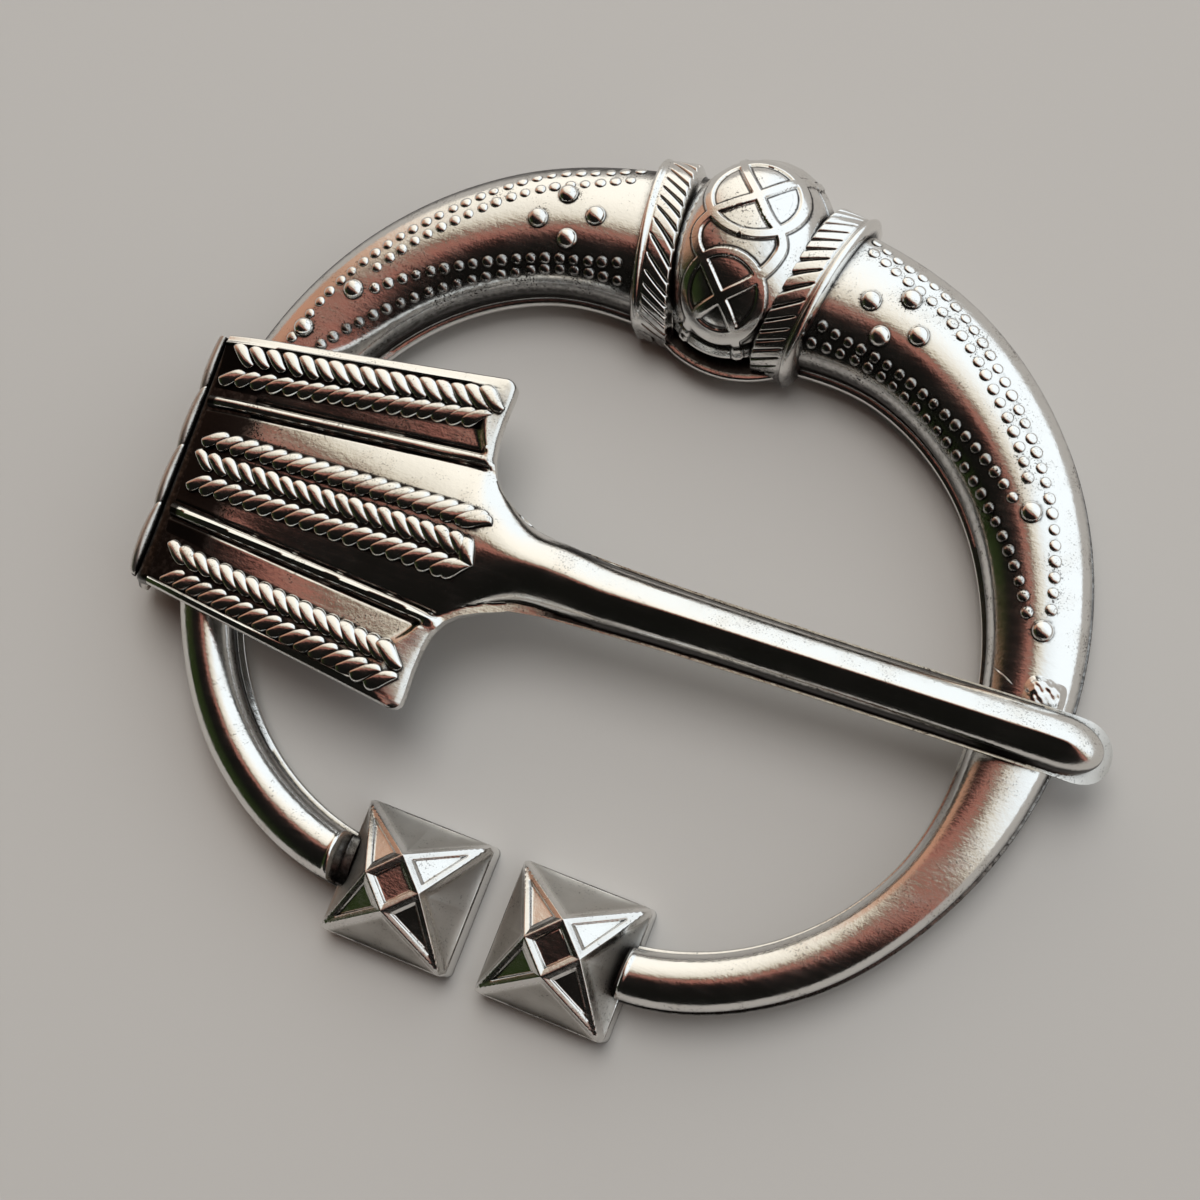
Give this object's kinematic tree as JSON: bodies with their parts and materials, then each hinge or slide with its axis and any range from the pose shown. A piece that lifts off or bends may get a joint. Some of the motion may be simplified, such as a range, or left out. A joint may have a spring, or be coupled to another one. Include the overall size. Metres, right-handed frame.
{
  "type": "horseshoe brooch",
  "caption": "Open-ring cloak brooch: a domed hoop with a large bead and star-topped square ends, and a swinging pin whose flared head wraps the hoop.",
  "frame": {"origin": "under the middle of the whole brooch, on the plane it lies on", "axes": "+Z out of the decorated face, +Y from the open ends to the bead, +X along the pin towards its tip"},
  "size_m": [0.0722, 0.0628, 0.0095],
  "materials": {
    "ring_silver": "cast, silver plated, antiqued dark in the hollows and polished on the high parts",
    "pin_silver": "cast, silver plated, antiqued dark in the hollows and polished on the high parts"
  },
  "bodies": {
    "ring": {"ring": "ring_silver"},
    "pin": {"pin": "pin_silver"}
  },
  "joints": [
    {"name": "pin_swing", "type": "hinge", "parent": "ring", "child": "pin", "pos_m": [-0.0287, -0.00424, 0.0022], "axis": [0.0356, -0.9994, 0], "range_deg": [0, 20]}
  ]
}
